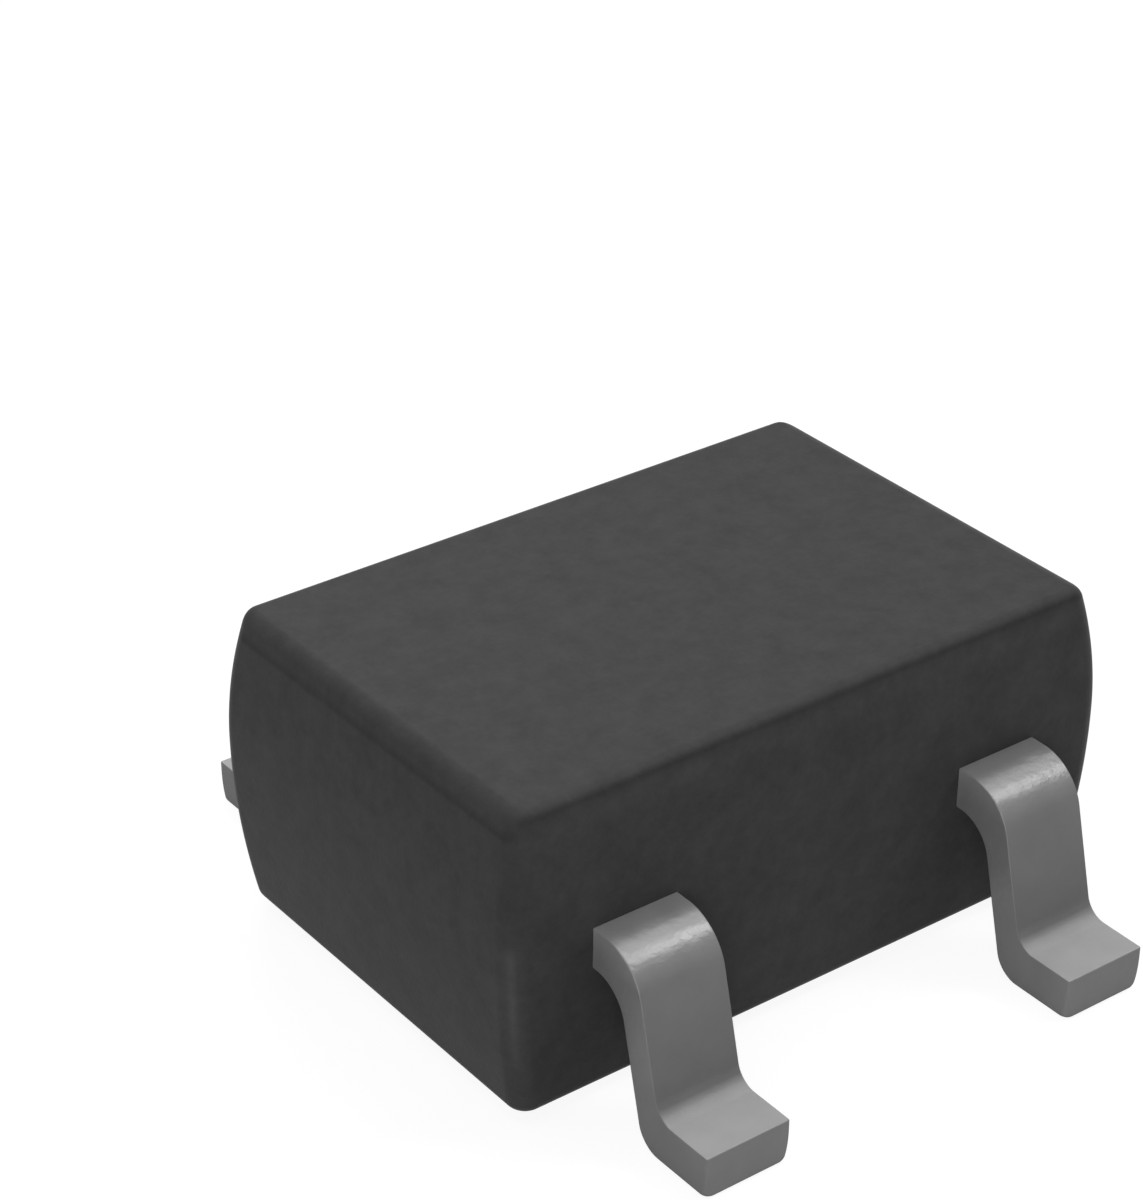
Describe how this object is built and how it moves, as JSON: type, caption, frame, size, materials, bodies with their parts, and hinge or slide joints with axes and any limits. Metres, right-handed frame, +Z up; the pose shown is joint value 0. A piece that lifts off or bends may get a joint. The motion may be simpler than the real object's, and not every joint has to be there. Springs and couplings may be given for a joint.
{
  "type": "logic buffer chip",
  "caption": "Small black surface-mount chip that buffers a logic signal: a moulded body with gull-wing leads on both long sides.",
  "frame": {"origin": "on the solder plane under the middle of the chip, at the bottom centre of its bounding box", "axes": "+X along the body's long side, +Y across the body towards the side with three leads, +Z up from the solder plane to the top face"},
  "size_m": [0.0022, 0.0024, 0.001],
  "materials": {
    "epoxy": "matte black filled epoxy moulding compound with a very fine grain",
    "tinned_lead": "matte grey tin plating over copper alloy",
    "attach_layer": "silver-filled adhesive",
    "silicon": "bare silicon",
    "bond_wire": "bare gold-coloured wire"
  },
  "bodies": {
    "root": {"moulded_body": "epoxy", "lead_1": "tinned_lead", "lead_2": "tinned_lead", "lead_3": "tinned_lead", "lead_4": "tinned_lead", "lead_5": "tinned_lead", "die_attach": "attach_layer", "silicon_die": "silicon", "bond_wire_1": "bond_wire", "bond_wire_2": "bond_wire", "bond_wire_3": "bond_wire", "bond_wire_4": "bond_wire", "bond_wire_5": "bond_wire"}
  },
  "joints": []
}
